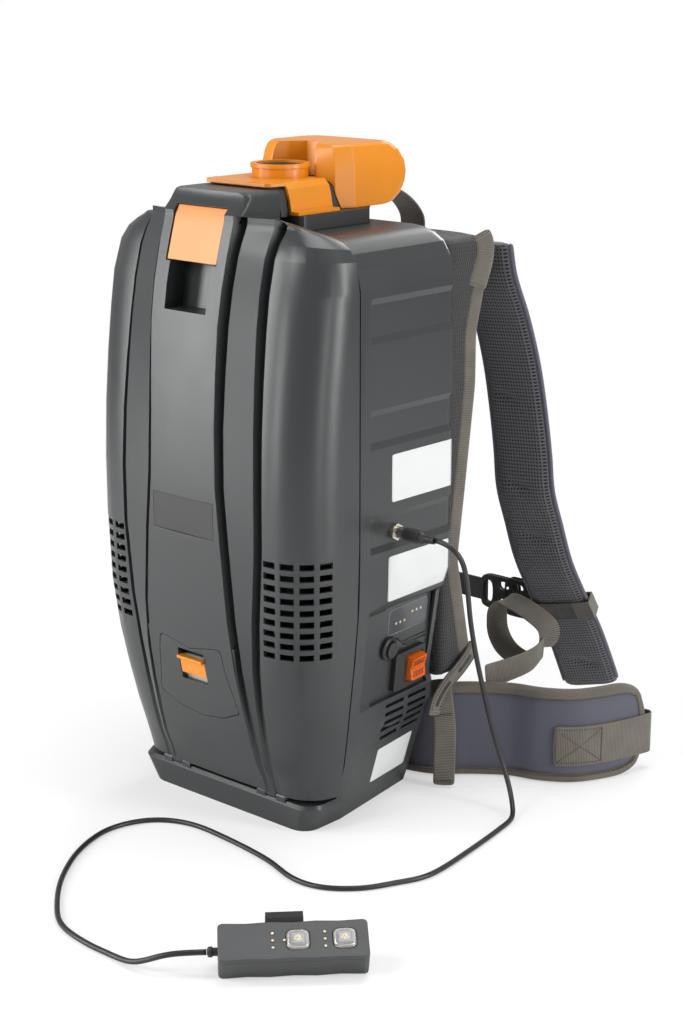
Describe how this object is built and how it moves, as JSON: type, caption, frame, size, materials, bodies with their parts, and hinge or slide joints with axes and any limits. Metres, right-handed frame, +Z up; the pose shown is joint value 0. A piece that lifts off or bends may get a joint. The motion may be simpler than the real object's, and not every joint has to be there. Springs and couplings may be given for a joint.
{
  "type": "backpack vacuum cleaner",
  "caption": "Battery backpack vacuum body with hinged cover, top hose inlet, side controls, padded harness and a corded hand control.",
  "frame": {"origin": "on the floor, at the middle of the base's flat underside", "axes": "+Z up, -Y out of the front cover, +X to the right seen from the front"},
  "size_m": [0.6094, 0.7866, 0.648],
  "materials": {
    "charcoal_plastic": "fine moulded grain",
    "black_plastic": "satin",
    "orange_plastic": "satin",
    "remote_grey": "fine grain",
    "clear_key": "clear domed",
    "amber_rocker": "translucent",
    "window_glass": "gloss",
    "nickel": "nickel plate",
    "steel": "plain",
    "rubber": "matte",
    "cord_black": "satin",
    "filter_foam": "open foam",
    "filter_paper": "pleated",
    "fleece": "fleece",
    "card": "card",
    "motor_grey": "cast",
    "circuit_board": "lacquered",
    "dark_mesh": "spacer mesh",
    "slate_cloth": "knitted",
    "taupe_webbing": "woven webbing"
  },
  "bodies": {
    "backpack": {"back_pad": "dark_mesh", "bag_plate": "card", "battery_pack": "black_plastic", "bottom_tab_left": "taupe_webbing", "bottom_tab_right": "taupe_webbing", "breaker_body": "black_plastic", "chamber_floor": "black_plastic", "chest_band_left": "taupe_webbing", "chest_band_right": "taupe_webbing", "chest_buckle_socket": "black_plastic", "chest_webbing_left": "taupe_webbing", "chest_webbing_right": "taupe_webbing", "connector_socket": "nickel", "control_board": "circuit_board", "control_cord": "cord_black", "cord_plug": "black_plastic", "display_window": "window_glass", "dust_bag": "fleece", "fan_shroud": "black_plastic", "grab_loop": "taupe_webbing", "harness_board": "black_plastic", "hinge_pin_left": "steel", "hinge_pin_right": "steel", "hip_belt_left": "slate_cloth", "hip_belt_right": "slate_cloth", "hip_webbing_left": "taupe_webbing", "hip_webbing_right": "taupe_webbing", "inlet_pipe": "black_plastic", "inlet_saddle": "orange_plastic", "inlet_seal": "rubber", "lower_strap_left": "taupe_webbing", "lower_strap_right": "taupe_webbing", "motor": "motor_grey", "motor_filter": "filter_foam", "motor_plate": "black_plastic", "rear_hood": "orange_plastic", "rear_housing": "charcoal_plastic", "remote_base": "remote_grey", "remote_clip": "black_plastic", "remote_gland": "black_plastic", "remote_lid": "remote_grey", "shoulder_strap_left": "dark_mesh", "shoulder_strap_right": "dark_mesh", "switch_bezel": "black_plastic", "top_deck": "black_plastic"},
    "cover": {"front_cover": "charcoal_plastic", "badge_plate": "black_plastic", "latch_pin": "steel", "exhaust_filter": "filter_paper"},
    "latch": {"cover_latch": "orange_plastic"},
    "hatch": {"filter_hatch": "charcoal_plastic"},
    "hatch_slide": {"hatch_latch": "orange_plastic"},
    "fan": {"fan_impeller": "steel"},
    "rocker": {"switch_rocker": "amber_rocker"},
    "breaker": {"breaker_button": "black_plastic"},
    "key_1": {"remote_key_1": "clear_key"},
    "key_2": {"remote_key_2": "clear_key"},
    "chest_plug": {"chest_buckle_plug": "black_plastic"}
  },
  "joints": [
    {"name": "cover_hinge", "type": "hinge", "parent": "backpack", "child": "cover", "pos_m": [0, -0.084, 0.03125], "axis": [1, 0, 0], "range_deg": [0, 60]},
    {"name": "cover_latch_pivot", "type": "hinge", "parent": "cover", "child": "latch", "pos_m": [0, -0.09748, 0.5944], "axis": [-1, 0, 0], "range_deg": [0, 20], "stiffness_Nm_per_rad": 0.05},
    {"name": "hatch_hinge", "type": "hinge", "parent": "cover", "child": "hatch", "pos_m": [0, -0.11237, 0.1046], "axis": [1, 0, 0], "range_deg": [0, 45]},
    {"name": "hatch_latch_slide", "type": "slide", "parent": "hatch", "child": "hatch_slide", "axis": [0, 0.1892, -0.9819], "range_m": [0, 0.006], "stiffness_N_per_m": 120},
    {"name": "fan_spin", "type": "hinge", "parent": "backpack", "child": "fan", "pos_m": [0, 0.014, 0.2], "axis": [0, 0, 1], "continuous": true},
    {"name": "rocker_tilt", "type": "hinge", "parent": "backpack", "child": "rocker", "pos_m": [0.127, 0.052, 0.143], "axis": [-0.0932, 0.9956, 0], "range_deg": [-9, 9]},
    {"name": "breaker_press", "type": "slide", "parent": "backpack", "child": "breaker", "axis": [-0.9909, -0.0927, 0.0979], "range_m": [0, 0.003], "stiffness_N_per_m": 300},
    {"name": "key_1_press", "type": "slide", "parent": "backpack", "child": "key_1", "axis": [-0.3505, 0.3349, -0.8746], "range_m": [0, 0.001], "stiffness_N_per_m": 400},
    {"name": "key_2_press", "type": "slide", "parent": "backpack", "child": "key_2", "axis": [-0.3505, 0.3349, -0.8746], "range_m": [0, 0.001], "stiffness_N_per_m": 400},
    {"name": "chest_buckle_pull", "type": "slide", "parent": "backpack", "child": "chest_plug", "axis": [-1, 0, 0], "range_m": [0, 0.02]}
  ]
}
